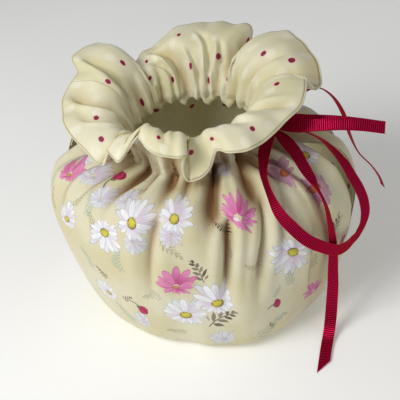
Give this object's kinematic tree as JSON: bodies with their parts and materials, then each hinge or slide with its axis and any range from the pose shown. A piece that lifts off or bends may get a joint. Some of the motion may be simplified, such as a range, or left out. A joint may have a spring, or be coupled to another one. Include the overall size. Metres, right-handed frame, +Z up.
{
  "type": "tea cosy",
  "caption": "Gathered fabric tea cosy, open at the top, base and both sides, with a drawstring ribbon tied at the neck below a curled frill.",
  "frame": {"origin": "middle of the cosy's cloth in plan, on the surface it stands on", "axes": "+Z up through the neck, +X towards the handle slot and the bow, -X towards the spout hole, -Y the front"},
  "size_m": [0.2074, 0.1539, 0.1517],
  "materials": {
    "floral_cotton": "matte plain-weave cotton printed with daisies",
    "dotted_cotton": "matte plain-weave cotton printed with small dots",
    "crimson_ribbon": "ribbed ribbon with a slight sheen"
  },
  "bodies": {
    "root": {"front_panel": "floral_cotton", "back_panel": "floral_cotton", "front_lining": "dotted_cotton", "back_lining": "dotted_cotton", "ribbon_knot": "crimson_ribbon", "ribbon_upper_loop": "crimson_ribbon", "ribbon_lower_loop": "crimson_ribbon", "ribbon_long_tail": "crimson_ribbon", "ribbon_short_tail": "crimson_ribbon"}
  },
  "joints": []
}
